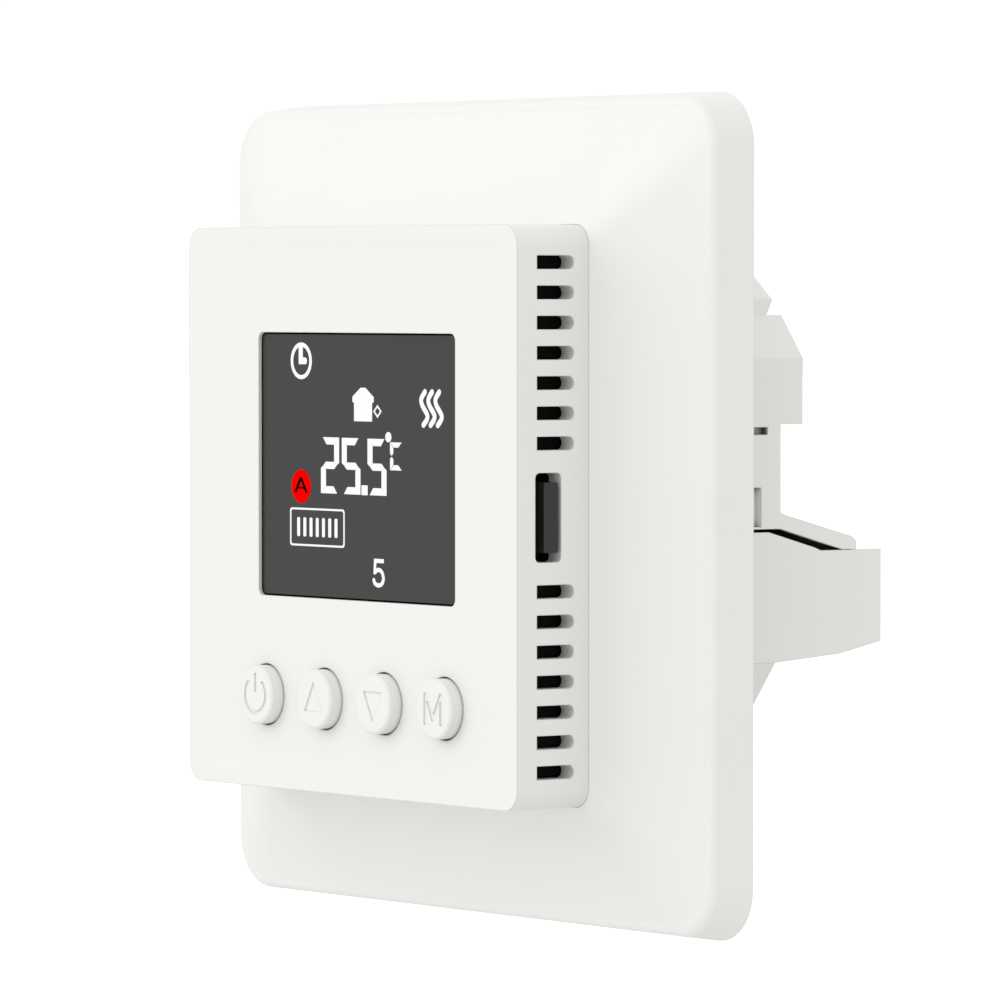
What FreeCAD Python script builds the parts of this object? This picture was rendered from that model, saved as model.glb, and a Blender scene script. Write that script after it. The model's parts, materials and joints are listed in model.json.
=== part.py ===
import FreeCAD, Part
import math
import os
import Sketcher

# Wall thermostat. X points right as seen from the room, Y points into the wall, Z points up.
# The origin is the centre of the decor frame on the wall plane. All sizes are in millimetres.

SIZES = {
    # small clearances used in several places
    "play": 0.2,
    "seam": 0.1,
    # decor frame
    "frame_half": 40.0,
    "frame_round": 5.2,
    "frame_draft": 0.5,
    "frame_side": 3.5,
    "frame_edge_round": 1.0,
    "frame_slope_share": 0.82,
    "frame_wall": 2.1,
    "frame_skin": 1.9,
    "rim_half": 27.53,
    "rim_round": 2.03,
    "rim_depth": 9.9,
    "rim_wall": 1.55,
    "skirt_rear": 5.2,
    "leg_long": 8.0,
    "leg_at": 18.5,
    # front cover
    "cover_half": 27.5,
    "cover_round": 2.0,
    "cover_wall": 2.0,
    "cover_rear": 4.6,
    "face_depth": 18.28,
    "face_thick": 2.32,
    "dish_half": 26.2,
    "dish_floor_half": 23.5,
    "dish_round": 1.2,
    "dish_depth": 0.18,
    # display
    "window_x": 0.95,
    "window_z": 4.28,
    "window_half_x": 16.45,
    "window_half_z": 12.92,
    "window_round": 0.7,
    "window_recess": 0.55,
    "window_play": 0.05,
    "flange_over": 0.9,
    "flange_thick": 0.8,
    "panel_half_x": 17.2,
    "panel_half_z": 13.7,
    "panel_thick": 1.8,
    "light_thick": 1.9,
    "holder_wall": 0.9,
    "holder_play": 0.1,
    "stack_gap": 0.06,
    # buttons and switches
    "button_pitch": 9.943,
    "button_first": -14.13,
    "button_row": -18.37,
    "button_hole": 3.05,
    "button_radius": 2.88,
    "button_proud": 1.2,
    "button_edge": 0.2,
    "button_flange": 3.7,
    "button_flange_thick": 0.66,
    "button_gap": 0.3,
    "button_stem": 1.2,
    "button_stem_length": 0.4,
    "sign_depth": 0.13,
    "sign_half_x": 1.5,
    "sign_half_z": 1.5,
    "sign_stroke": 0.42,
    "menu_valley": -0.48,
    "menu_inner": 0.72,
    "menu_point": -1.12,
    "ring_radius": 1.9,
    "ring_stroke": 0.3,
    "ring_gap_half": 1.6,
    "ring_gap_low": 1.3,
    "ring_bar_low": 0.28,
    "ring_bar_high": 2.12,
    "triangle_half_z": 1.44,
    "triangle_shift": 0.27,
    "switch_half": 3.0,
    "switch_height": 3.5,
    "plunger_radius": 1.7,
    "plunger_fit": 0.05,
    "plunger_length": 1.7,
    "plunger_bore": 1.3,
    # side openings
    "vent_first": 6.96,
    "vent_pitch": 2.83,
    "vent_height": 1.28,
    "vent_rear": 11.63,
    "vent_round": 0.6,
    "slot_front": 16.15,
    "slot_rear": 13.12,
    "slot_half_z": 4.2,
    "slot_round": 0.5,
    # control board and chassis
    "board_half": 23.5,
    "board_front": 10.0,
    "board_thick": 1.6,
    "chassis_half": 25.3,
    "chassis_round": 1.0,
    "chassis_wall": 1.2,
    "chassis_front": 14.6,
    "chassis_floor": 6.6,
    "chassis_rear": 4.8,
    "post_at": 21.0,
    "post_radius": 2.2,
    "small_screw": 1.0,
    "small_hole": 1.05,
    "small_head": 1.9,
    "small_head_height": 0.9,
    "sensor_x": -20.5,
    "sensor_z": -13.8,
    "sensor_radius": 1.1,
    "sensor_half": 1.2,
    "sensor_rise": 1.6,
    "sensor_lead_half": 0.2,
    "sensor_lead_at": 0.8,
    # latch
    "latch_front": 15.14,
    "latch_rear": 13.54,
    "latch_half_z": 3.3,
    "latch_inner": 21.2,
    "latch_leg": 1.2,
    "latch_leg_half": 2.5,
    "latch_hook": 0.8,
    "latch_hook_front": 2.8,
    "latch_hook_rear": 1.9,
    "latch_collar_x": 23.0,
    "latch_collar_thick": 0.9,
    "latch_collar_half": 4.6,
    "latch_way": 19.4,
    "latch_way_half": 3.0,
    "spring_radius": 0.62,
    "spring_wire": 0.13,
    "spring_pitch": 0.6,
    "spring_length": 4.8,
    "spring_axis": 7.5,
    "spring_gap": 1.6,
    "seat_thick": 1.4,
    "seat_half": 1.2,
    # header
    "header_x": 7.1,
    "header_z": 15.27,
    "header_half_z": 2.6,
    "pin_pitch": 2.54,
    "pin_half": 0.32,
    "pin_end": 0.5,
    "pin_hole_half": 0.38,
    "header_base_height": 1.8,
    "header_clear": 0.5,
    "socket_floor": 0.4,
    # lid and mounting plate
    "lid_half": 26.4,
    "lid_front": 4.4,
    "lid_rear": 3.1,
    "lid_screw_at": 23.6,
    "head_sink": 0.6,
    "plate_half": 35.5,
    "plate_round": 4.0,
    "plate_thick": 1.5,
    "plate_way_x": 25.4,
    "plate_way_z": 24.6,
    "plate_way_round": 9.0,
    "box_screw_at": 30.0,
    "box_slot_radius": 1.8,
    "box_slot_length": 6.0,
    # rear housing
    "flange_half": 26.6,
    "flange_round": 4.0,
    "housing_half_x": 25.0,
    "housing_shoulder_z": 14.74,
    "housing_step_x": 21.65,
    "housing_step_z": 18.9,
    "housing_end_x": 17.4,
    "housing_end_z": 22.9,
    "housing_rear": 14.5,
    "housing_wall": 1.5,
    "upper_rear": 17.9,
    "upper_bottom": 8.35,
    "strip_rear": 15.2,
    "strip_bottom": -1.0,
    "lug_rear": 16.78,
    "lug_neck": 16.05,
    "lug_side_z": 20.4,
    "lug_mid_x": 18.85,
    "lug_mid_z": 22.6,
    "lug_top_x": 15.2,
    "lug_top_z": 24.2,
    "lug_root": 1.0,
    "wing_root": 13.2,
    "wing_root_top": 0.12,
    "wing_root_low": -1.72,
    "wing_curve": 15.3,
    "wing_curve_z": -0.15,
    "wing_bend": 15.75,
    "wing_bend_z": -0.34,
    "wing_far": 24.1,
    "wing_far_z": -2.6,
    "wing_nose": 24.45,
    "wing_nose_z": -2.86,
    "wing_tip": 24.64,
    "wing_tip_z": -3.23,
    "wing_end_z": -3.85,
    "wing_heel": 22.85,
    "wing_lip_half_x": 24.0,
    "wing_lip_front": 23.7,
    "wing_lip_z": -4.4,
    "recess_deep": 0.9,
    "recess_front": 5.0,
    "recess_low_rear": 12.8,
    "recess_low_bottom": -1.5,
    "recess_low_top": 2.3,
    "recess_high_rear": 13.6,
    "recess_high_bottom": 7.4,
    "recess_high_top": 8.12,
    "upper_front": 5.0,
    "rib_half_z": 8.0,
    "rib_thick": 1.2,
    # terminals
    "block_front": 13.0,
    "block_rear": 27.7,
    "block_top": -3.9,
    "block_low_top": -4.8,
    "block_bottom": -14.65,
    "block_end_wall": 0.7,
    "block_crown": -2.02,
    "block_brow": 13.75,
    "block_ramp": 19.4,
    "block_ramp_z": -3.6,
    "block_step": 20.2,
    "ear_front": 11.2,
    "ear_thick": 1.2,
    "block_heel_z": -12.9,
    "block_belly": 22.6,
    "block_belly_z": -14.0,
    "block_toe": 14.5,
    "way_pitch": 8.0,
    "clamp_z": -9.0,
    "chamber_half_x": 3.5,
    "chamber_front": 13.9,
    "chamber_rear": 24.9,
    "chamber_bottom": -12.0,
    "chamber_top": -5.4,
    "mouth_half_x": 2.4,
    "mouth_front": 15.1,
    "mouth_rear": 19.7,
    "cage_half_x": 3.2,
    "cage_half_z": 2.7,
    "cage_front": 14.2,
    "cage_wall": 0.9,
    "cage_side": 0.8,
    "cage_rear": 21.6,
    "bar_half_x": 2.0,
    "bar_thick": 0.8,
    "bar_leg": 0.5,
    "bar_foot": 0.3,
    "clamp_screw": 1.5,
    "clamp_fit": 0.05,
    "clamp_tip": 20.6,
    "clamp_ledge": 25.5,
    "clamp_ledge_hole": 1.75,
    "clamp_head": 2.4,
    "clamp_head_front": 25.7,
    "clamp_head_rear": 27.1,
    "clamp_head_bore": 2.7,
    "driver_slot_half": 0.35,
    "driver_slot_depth": 0.8,
    # base electronics
    "power_front": 0.6,
    "power_thick": 1.6,
    "power_inset": 2.1,
    "relay_low_x": -19.5,
    "relay_high_x": -1.5,
    "supply_low_x": 1.5,
    "supply_high_x": 19.5,
    "tall_bottom": 10.4,
    "tall_top": 16.9,
    "tall_rear": 15.6,
    "can_radius": 4.0,
    "can_rear": 12.4,
    "can_z": 3.0,
    "can_left_x": -15.0,
    "can_right_x": -5.0,
    "disc_radius": 3.4,
    "disc_x": 6.5,
    "disc_half": 1.5,
    "disc_rise": 1.0,
    "link_radius": 2.0,
    "link_x": 15.5,
    "link_half": 5.0,
    "link_rise": 1.2,
    "link_lead_at": 4.15,
    "wire_half": 0.35,
}

VENTS = 7
WAYS = range(6)
CORNERS = ((1, 1), (1, -1), (-1, 1), (-1, -1))
BUTTON_NAMES = ("power", "up", "down", "menu")

# name, limits on X, height, limits on Z
CHIPS = (
    ("chip_main", (-14, -6), 1.4, (-4, 4)),
    ("chip_memory", (-2, 3), 1.3, (-12, -8)),
    ("chip_driver", (1, 9), 1.2, (3, 8)),
)

# how far cutting tools run past the surface they cut
OVER = 1.0
# depth that is in front of every part
FAR_FRONT = -20.0
# how much of an inset moves the far coordinate of a slanted housing corner
SHOULDER_SHARE = 0.45
STEP_SHARE = 0.75
UPPER_STEP_SHARE = 0.5
# steps used for the curved profiles of the decor frame and the dished face
EDGE_STEPS = 6
SLOPE_STEPS = 8
DISH_STEPS = 6


class Size:
    """A length together with the sheet formula that gives it."""

    def __init__(self, value, text):
        self.value = value
        self.text = text

    def __add__(self, other):
        other = sized(other)
        return Size(self.value + other.value, "(%s + %s)" % (self.text, other.text))

    def __sub__(self, other):
        other = sized(other)
        return Size(self.value - other.value, "(%s - %s)" % (self.text, other.text))

    def __mul__(self, other):
        other = sized(other)
        return Size(self.value * other.value, "(%s * %s)" % (self.text, other.text))

    def __neg__(self):
        return Size(-self.value, "(0 - %s)" % self.text)


def sized(thing):
    if isinstance(thing, Size):
        return thing
    return Size(float(thing), "(%s)" % repr(float(thing)))


class Names:
    """Gives every sheet cell as an attribute."""

    def __getattr__(self, name):
        return Size(float(sheet.get(name)), "Dims." + name)


def fill_sheet():
    for row, (name, value) in enumerate(SIZES.items(), start=1):
        sheet.set("A%d" % row, name)
        sheet.set("B%d" % row, repr(value))
        sheet.setAlias("B%d" % row, name)
    doc.recompute()


doc = FreeCAD.newDocument("WallThermostat")
sheet = doc.addObject("Spreadsheet::Sheet", "Dims")
fill_sheet()
d = Names()


# ---------------------------------------------------------------- building blocks


def bind(thing, prop, size):
    thing.setExpression(prop, sized(size).text)


def place(thing, x, y, z):
    for axis, size in zip("xyz", (x, y, z)):
        bind(thing, "Placement.Base." + axis, size)


def box(name, x, y, z):
    """A block between two limits on each axis."""
    made = doc.addObject("Part::Box", name)
    for prop, (low, high) in zip(("Length", "Width", "Height"), (x, y, z)):
        bind(made, prop, sized(high) - low)
    place(made, x[0], y[0], z[0])
    return made


TURNS = {
    "X": FreeCAD.Rotation(FreeCAD.Vector(0, 1, 0), 90),
    "Y": FreeCAD.Rotation(FreeCAD.Vector(1, 0, 0), -90),
    "Z": FreeCAD.Rotation(),
}


def start_of(axis, at, span):
    if axis == "X":
        return span[0], at[0], at[1]
    if axis == "Y":
        return at[0], span[0], at[1]
    return at[0], at[1], span[0]


def rod(name, axis, at, span, radius):
    """A cylinder along an axis; at holds its two other coordinates."""
    made = doc.addObject("Part::Cylinder", name)
    bind(made, "Radius", radius)
    bind(made, "Height", sized(span[1]) - span[0])
    made.Placement = FreeCAD.Placement(FreeCAD.Vector(), TURNS[axis])
    place(made, *start_of(axis, at, span))
    return made


def cone(name, axis, at, span, radius_low, radius_high):
    made = doc.addObject("Part::Cone", name)
    bind(made, "Radius1", radius_low)
    bind(made, "Radius2", radius_high)
    bind(made, "Height", sized(span[1]) - span[0])
    made.Placement = FreeCAD.Placement(FreeCAD.Vector(), TURNS[axis])
    place(made, *start_of(axis, at, span))
    return made


def new_sketch(body, plane):
    sketch = body.newObject("Sketcher::SketchObject", body.Name + "_sketch")
    role = plane + "_Plane"
    origin_plane = [o for o in body.Origin.OriginFeatures if o.Role == role][0]
    sketch.AttachmentSupport = [(origin_plane, "")]
    sketch.MapMode = "FlatFace"
    return sketch


def pin_vertex(sketch, edge, end, x, y):
    """Fix one end of a sketch edge at bound coordinates."""
    for kind, size in (("DistanceX", sized(x)), ("DistanceY", sized(y))):
        rule = sketch.addConstraint(Sketcher.Constraint(kind, -1, 1, edge, end, size.value))
        sketch.setExpression("Constraints[%d]" % rule, size.text)


def pad_sketch(body, sketch, plane, span):
    """Pad between two limits on the axis across the sketch plane."""
    pad = body.newObject("PartDesign::Pad", body.Name + "_pad")
    pad.Profile = sketch
    bind(pad, "Length", sized(span[1]) - span[0])
    if plane == "XZ":
        place(body, 0, span[1], 0)
    else:
        place(body, span[0], 0, 0)
    return body


def outline(name, plane, points, span):
    """A straight-sided outline, in the XZ or YZ plane, given thickness across it."""
    body = doc.addObject("PartDesign::Body", name)
    sketch = new_sketch(body, plane)
    count = len(points)
    flat = [FreeCAD.Vector(sized(x).value, sized(y).value, 0) for x, y in points]
    for i in range(count):
        sketch.addGeometry(Part.LineSegment(flat[i], flat[(i + 1) % count]))
    for i in range(count):
        sketch.addConstraint(Sketcher.Constraint("Coincident", i, 2, (i + 1) % count, 1))
    for i, (x, y) in enumerate(points):
        pin_vertex(sketch, i, 1, x, y)
    return pad_sketch(body, sketch, plane, span)


def slab(name, plane, centre, half, radius, span):
    """A rounded rectangle, in the XZ or YZ plane, given thickness across it."""
    body = doc.addObject("PartDesign::Body", name)
    sketch = new_sketch(body, plane)
    radius = sized(radius)
    u, v = sized(centre[0]), sized(centre[1])
    wide, tall = sized(half[0]), sized(half[1])
    corners = []
    for sign_u, sign_v in ((1, -1), (1, 1), (-1, 1), (-1, -1)):
        corners.append((u + (wide - radius) * sign_u, v + (tall - radius) * sign_v))
    for i, (cu, cv) in enumerate(corners):
        start = math.radians(90 * i - 90)
        middle = FreeCAD.Vector(cu.value, cv.value, 0)
        circle = Part.Circle(middle, FreeCAD.Vector(0, 0, 1), radius.value)
        sketch.addGeometry(Part.ArcOfCircle(circle, start, start + math.pi / 2))
    for i in range(4):
        ends = (sketch.getPoint(i, 2), sketch.getPoint((i + 1) % 4, 1))
        sketch.addGeometry(Part.LineSegment(*ends))
    for i in range(4):
        sketch.addConstraint(Sketcher.Constraint("Tangent", i, 2, 4 + i, 1))
        sketch.addConstraint(Sketcher.Constraint("Tangent", 4 + i, 2, (i + 1) % 4, 1))
    for i, (cu, cv) in enumerate(corners):
        pin_vertex(sketch, i, 3, cu, cv)
    rule = sketch.addConstraint(Sketcher.Constraint("Radius", 0, radius.value))
    sketch.setExpression("Constraints[%d]" % rule, radius.text)
    return pad_sketch(body, sketch, plane, span)


def fuse(name, parts):
    made = doc.addObject("Part::MultiFuse", name)
    made.Shapes = parts
    made.Refine = True
    return made


def group(name, parts):
    """Separate solids that share one node."""
    made = doc.addObject("Part::Compound", name)
    made.Links = parts
    return made


def cut(name, base, tools):
    made = doc.addObject("Part::Cut", name)
    made.Base = base
    made.Tool = tools[0] if len(tools) == 1 else fuse(name + "_tools", tools)
    return made


def rounded_loop(half, radius, y):
    """A closed rounded square on the plane at depth y."""
    flat = half - radius
    slant = radius * math.sqrt(0.5)
    edges = []
    for turn in range(4):
        spin = FreeCAD.Rotation(FreeCAD.Vector(0, 1, 0), 90 * turn)
        start = spin.multVec(FreeCAD.Vector(-flat, y, half))
        end = spin.multVec(FreeCAD.Vector(flat, y, half))
        middle = spin.multVec(FreeCAD.Vector(flat + slant, y, flat + slant))
        far = spin.multVec(FreeCAD.Vector(half, y, flat))
        edges.append(Part.LineSegment(start, end).toShape())
        edges.append(Part.Arc(end, middle, far).toShape())
    return Part.Wire(edges)


def stacked(loops):
    """A solid through rounded squares, each (half, radius, depth)."""
    return Part.makeLoft([rounded_loop(*loop) for loop in loops], True, True)


def coded(name, shape):
    made = doc.addObject("Part::Feature", name)
    made.Shape = shape
    made.Placement = FreeCAD.Placement()
    return made


# ---------------------------------------------------------------- front cover and display

FACE = -d.face_depth
FACE_BACK = FACE + d.face_thick


def button_x(index):
    return d.button_first + d.button_pitch * index


def side_vents():
    """Slots above and below the middle, through both side walls, square at the front end."""
    reach = (-d.cover_half - OVER, d.cover_half + OVER)
    half = d.vent_height * 0.5
    rear = -d.vent_rear
    middle = (FACE_BACK + rear) * 0.5
    length = (rear - FACE_BACK) * 0.5
    tools = []
    for side, label in ((1, "upper"), (-1, "lower")):
        for i in range(VENTS):
            z = (d.vent_first + d.vent_pitch * i) * side
            name = "vent_%s_%d" % (label, i)
            tools.append(slab(name, "YZ", (middle, z), (length, half), d.vent_round, reach))
            tools.append(box(name + "_front", reach, (FACE_BACK, middle), (z - half, z + half)))
    return tools


def face_dish():
    """Shallow hollow over the face, fading in from the border."""
    wide, floor = d.dish_half.value, d.dish_floor_half.value
    loops = [(wide, d.dish_round.value, FACE.value - OVER)]
    for step in range(DISH_STEPS + 1):
        along = step / DISH_STEPS
        down = 1 - (1 - along) ** 2
        loops.append((wide + (floor - wide) * along, d.dish_round.value,
                      FACE.value + d.dish_depth.value * down))
    return coded("cover_dish", stacked(loops))


def make_front_cover():
    half = d.cover_half
    inner = half - d.cover_wall
    shell = slab("cover_block", "XZ", (0, 0), (half, half), d.cover_round, (FACE, -d.cover_rear))
    hollow = slab("cover_hollow", "XZ", (0, 0), (inner, inner), d.cover_round * 0.5,
                  (FACE_BACK, -d.cover_rear + OVER))
    window = slab("cover_window", "XZ", (d.window_x, d.window_z), (d.window_half_x, d.window_half_z),
                  d.window_round, (FACE - OVER, FACE_BACK + OVER))
    slot_y = (d.slot_front + d.slot_rear) * -0.5
    slot_half = (d.slot_front - d.slot_rear) * 0.5
    slot = slab("cover_latch_slot", "YZ", (slot_y, 0), (slot_half, d.slot_half_z), d.slot_round,
                (inner - OVER, half + OVER))
    tools = [hollow, window, slot, face_dish()]
    for i, name in enumerate(BUTTON_NAMES):
        tools.append(rod("cover_%s_hole" % name, "Y", (button_x(i), d.button_row),
                         (FACE - OVER, FACE_BACK + OVER), d.button_hole))
    return cut("front_cover", shell, tools + side_vents())


def make_display():
    centre = (d.window_x, d.window_z)
    play = d.window_play
    pane_half = (d.window_half_x - play, d.window_half_z - play)
    flange_half = (d.window_half_x + d.flange_over, d.window_half_z + d.flange_over)
    pane = slab("window_pane", "XZ", centre, pane_half, d.window_round,
                (FACE + d.window_recess, FACE_BACK + d.flange_thick))
    flange = slab("window_flange", "XZ", centre, flange_half, d.window_round,
                  (FACE_BACK, FACE_BACK + d.flange_thick))
    fuse("display_window", [pane, flange])
    panel_front = FACE_BACK + d.flange_thick + d.stack_gap
    light_front = panel_front + d.panel_thick + d.stack_gap
    light_rear = light_front + d.light_thick
    half = (d.panel_half_x, d.panel_half_z)
    slab("lcd_panel", "XZ", centre, half, d.window_round, (panel_front, panel_front + d.panel_thick))
    slab("lcd_backlight", "XZ", centre, half, d.window_round, (light_front, light_rear))
    pocket = (d.panel_half_x + d.holder_play, d.panel_half_z + d.holder_play)
    outer = (pocket[0] + d.holder_wall, pocket[1] + d.holder_wall)
    frame = slab("holder_block", "XZ", centre, outer, d.window_round, (panel_front, -d.board_front))
    well = slab("holder_pocket", "XZ", centre, pocket, d.window_round, (FACE, light_rear))
    cut("lcd_holder", frame, [well])


# ---------------------------------------------------------------- buttons


def sign_outline(name, x, points, span):
    placed = [(x + u, d.button_row + v) for u, v in points]
    return outline(name, "XZ", placed, span)


def power_sign(x, span):
    z = d.button_row
    disc = rod("power_sign_disc", "Y", (x, z), span, d.ring_radius)
    core = rod("power_sign_core", "Y", (x, z), span, d.ring_radius - d.ring_stroke)
    gap = box("power_sign_gap", (x - d.ring_gap_half, x + d.ring_gap_half), span,
              (z + d.ring_gap_low, z + d.ring_radius + OVER))
    ring = cut("power_sign_ring", disc, [core, gap])
    half = d.ring_stroke * 0.5
    bar = box("power_sign_bar", (x - half, x + half), span, (z + d.ring_bar_low, z + d.ring_bar_high))
    return [ring, bar]


def triangle_sign(name, x, up, span):
    tip = (d.triangle_shift + d.triangle_half_z) * up
    base = (d.triangle_shift - d.triangle_half_z) * up
    half = d.sign_half_x
    return [sign_outline(name, x, [(-half, base), (half, base), (sized(0), tip)], span)]


def menu_sign(x, span):
    wide, tall, stroke = d.sign_half_x, d.sign_half_z, d.sign_stroke
    inner = wide - stroke
    right = [(sized(0), d.menu_valley), (inner, tall), (wide, tall), (wide, -tall), (inner, -tall),
             (inner, d.menu_inner), (stroke * 0.5, d.menu_point)]
    left = [(-u, v) for u, v in reversed(right[1:])]
    return [sign_outline("menu_sign", x, right + left, span)]


def make_button(index, name):
    x = button_x(index)
    at = (x, d.button_row)
    top = FACE - d.button_proud
    flange_front = FACE_BACK + d.button_gap
    flange_rear = flange_front + d.button_flange_thick
    stem_rear = flange_rear + d.button_stem_length
    edge = d.button_edge
    body = fuse(name + "_button_blank", [
        cone(name + "_button_edge", "Y", at, (top, top + edge), d.button_radius - edge, d.button_radius),
        rod(name + "_button_crown", "Y", at, (top + edge, flange_rear), d.button_radius),
        rod(name + "_button_flange", "Y", at, (flange_front, flange_rear), d.button_flange),
        rod(name + "_button_stem", "Y", at, (flange_rear, stem_rear), d.button_stem),
    ])
    span = (top - OVER, top + d.sign_depth)
    signs = {
        "power": lambda: power_sign(x, span),
        "up": lambda: triangle_sign("up_sign", x, 1, span),
        "down": lambda: triangle_sign("down_sign", x, -1, span),
        "menu": lambda: menu_sign(x, span),
    }
    cut(name + "_button", body, signs[name]())
    rod(name + "_plunger", "Y", at, (stem_rear, stem_rear + d.plunger_length), d.plunger_radius)


def make_switches():
    rear = -d.board_front
    front = rear - d.switch_height
    half = d.switch_half
    z = d.button_row
    switches = []
    for i, name in enumerate(BUTTON_NAMES):
        x = button_x(i)
        block = box(name + "_switch_block", (x - half, x + half), (front, rear), (z - half, z + half))
        bore = rod(name + "_switch_bore", "Y", (x, z), (front - OVER, front + d.plunger_bore),
                   d.plunger_radius + d.plunger_fit)
        switches.append(cut(name + "_switch", block, [bore]))
    group("tact_switches", switches)


# ---------------------------------------------------------------- control electronics and chassis

BOARD_REAR = -d.board_front + d.board_thick


def screw(name, at, head_front, head_height, tip):
    under = head_front + head_height
    return fuse(name, [
        rod(name + "_head", "Y", at, (head_front, under), d.small_head),
        rod(name + "_shank", "Y", at, (under, tip), d.small_screw),
    ])


def make_control_board():
    half = d.board_half
    through = (-d.board_front - OVER, BOARD_REAR + OVER)
    plate = slab("board_blank", "XZ", (0, 0), (half, half), d.chassis_round, (-d.board_front, BOARD_REAR))
    notch = box("board_notch", (d.latch_way, half + OVER), through, (-d.latch_way_half, d.latch_way_half))
    holes = []
    screws = []
    for i, (sx, sz) in enumerate(CORNERS):
        at = (d.post_at * sx, d.post_at * sz)
        holes.append(rod("board_hole_%d" % i, "Y", at, through, d.small_hole))
        screws.append(screw("board_screw_%d" % i, at, -d.board_front - d.small_head_height,
                            d.small_head_height, -d.chassis_floor - d.play * 2))
    cut("control_board", plate, [notch] + holes)
    group("board_screws", screws)
    chips = [box(name, x, (BOARD_REAR, BOARD_REAR + height), z) for name, x, height, z in CHIPS]
    group("control_chips", chips)


def make_room_sensor():
    x, z = d.sensor_x, d.sensor_z
    front = -d.board_front
    axis = front - d.sensor_rise
    half = d.sensor_lead_half
    parts = [rod("sensor_bead", "Z", (x, axis), (z - d.sensor_half, z + d.sensor_half), d.sensor_radius)]
    for side, label in ((1, "high"), (-1, "low")):
        middle = z + d.sensor_lead_at * side
        parts.append(box("sensor_lead_" + label, (x - half, x + half), (axis, front),
                         (middle - half, middle + half)))
    fuse("room_sensor", parts)


def pin_centres():
    for row in (-0.5, 0.5):
        for column in range(-2, 3):
            yield d.pin_pitch * column, d.header_z + d.pin_pitch * row


def square_rods(name, half, span):
    made = []
    for i, (x, z) in enumerate(pin_centres()):
        made.append(box("%s_%d" % (name, i), (x - half, x + half), span, (z - half, z + half)))
    return made


def header_way(name, grow, span):
    low = d.header_z - d.header_half_z
    high = d.header_z + d.header_half_z
    return box(name, (-d.header_x - grow, d.header_x + grow), span, (low - grow, high + grow))


def make_header():
    base = header_way("header_base", 0, (BOARD_REAR, BOARD_REAR + d.header_base_height))
    fuse("header_pins", [base] + square_rods("header_pin", d.pin_half, (BOARD_REAR, -d.pin_end)))
    block = header_way("socket_block", 0, (-d.lid_rear + d.seam, d.power_front))
    holes = square_rods("socket_hole", d.pin_hole_half, (-d.lid_rear - OVER, d.power_front - d.socket_floor))
    cut("header_socket", block, holes)


def latch_window(name, span):
    """Way for the latch leg, or for the fixed hook on the other side."""
    return box(name, (d.latch_way, d.latch_inner + d.latch_leg + d.play), span,
               (-d.latch_way_half, d.latch_way_half))


def make_chassis():
    half = d.chassis_half
    inner = half - d.chassis_wall
    tray = slab("chassis_tray", "XZ", (0, 0), (half, half), d.chassis_round,
                (-d.chassis_front, -d.chassis_rear))
    well = slab("chassis_well", "XZ", (0, 0), (inner, inner), d.chassis_round * 0.5,
                (-d.chassis_front - OVER, -d.chassis_floor))
    notch = box("chassis_notch", (inner - OVER, half + OVER), (-d.chassis_front - OVER, -d.slot_rear),
                (-d.slot_half_z, d.slot_half_z))
    floor_span = (-d.chassis_floor - OVER, -d.chassis_rear + OVER)
    shell = cut("chassis_shell", tray, [
        well,
        notch,
        header_way("chassis_header_way", d.header_clear, floor_span),
        latch_window("chassis_latch_way", floor_span),
    ])
    parts = [shell]
    holes = []
    for i, (sx, sz) in enumerate(CORNERS):
        at = (d.post_at * sx, d.post_at * sz)
        parts.append(rod("chassis_post_%d" % i, "Y", at, (BOARD_REAR, -d.chassis_floor), d.post_radius))
        holes.append(rod("chassis_pilot_%d" % i, "Y", at,
                         (BOARD_REAR - OVER, -d.chassis_floor - d.play), d.small_hole))
    leg = (-d.latch_inner - d.latch_leg, -d.latch_inner)
    tip = leg[0] - d.latch_hook
    grip = (-d.latch_leg_half, d.latch_leg_half)
    parts.append(box("fixed_hook_leg", leg, (-d.chassis_rear, -d.latch_hook_rear), grip))
    parts.append(box("fixed_hook_tip", (tip, leg[1]), (-d.latch_hook_front, -d.latch_hook_rear), grip))
    seat = d.latch_inner - d.spring_length - d.spring_gap
    parts.append(box("spring_seat", (seat - d.seat_thick, seat), (BOARD_REAR + d.seam, -d.chassis_floor),
                     (-d.seat_half, d.seat_half)))
    cut("inner_chassis", fuse("chassis_blank", parts), holes)


def make_latch():
    inner = d.latch_inner
    outer = inner + d.latch_leg
    front, rear = -d.latch_front, -d.latch_rear
    collar = d.latch_collar_x
    grip = (-d.latch_leg_half, d.latch_leg_half)
    fuse("release_latch", [
        box("latch_bar", (inner, d.cover_half), (front, rear), (-d.latch_half_z, d.latch_half_z)),
        box("latch_collar", (collar, collar + d.latch_collar_thick), (front, rear + OVER),
            (-d.latch_collar_half, d.latch_collar_half)),
        box("latch_leg", (inner, outer), (rear, -d.latch_hook_rear), grip),
        box("latch_hook", (inner, outer + d.latch_hook), (-d.latch_hook_front, -d.latch_hook_rear), grip),
    ])


def make_spring():
    """Return spring of the latch: a coil along X between the leg and its seat."""
    length = d.spring_length.value - 2 * d.spring_wire.value
    path = Part.makeHelix(d.spring_pitch.value, length, d.spring_radius.value)
    circle = Part.Circle(FreeCAD.Vector(d.spring_radius.value, 0, 0), FreeCAD.Vector(0, 1, 0),
                         d.spring_wire.value)
    coil = Part.Wire(path).makePipeShell([Part.Wire(circle.toShape())], True, True)
    made = doc.addObject("Part::Feature", "latch_spring")
    made.Shape = coil
    start = d.latch_inner.value - d.spring_length.value + d.spring_wire.value
    base = FreeCAD.Vector(start, -d.spring_axis.value, 0)
    made.Placement = FreeCAD.Placement(base, TURNS["X"])


# ---------------------------------------------------------------- decor frame and mounting plate


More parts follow.
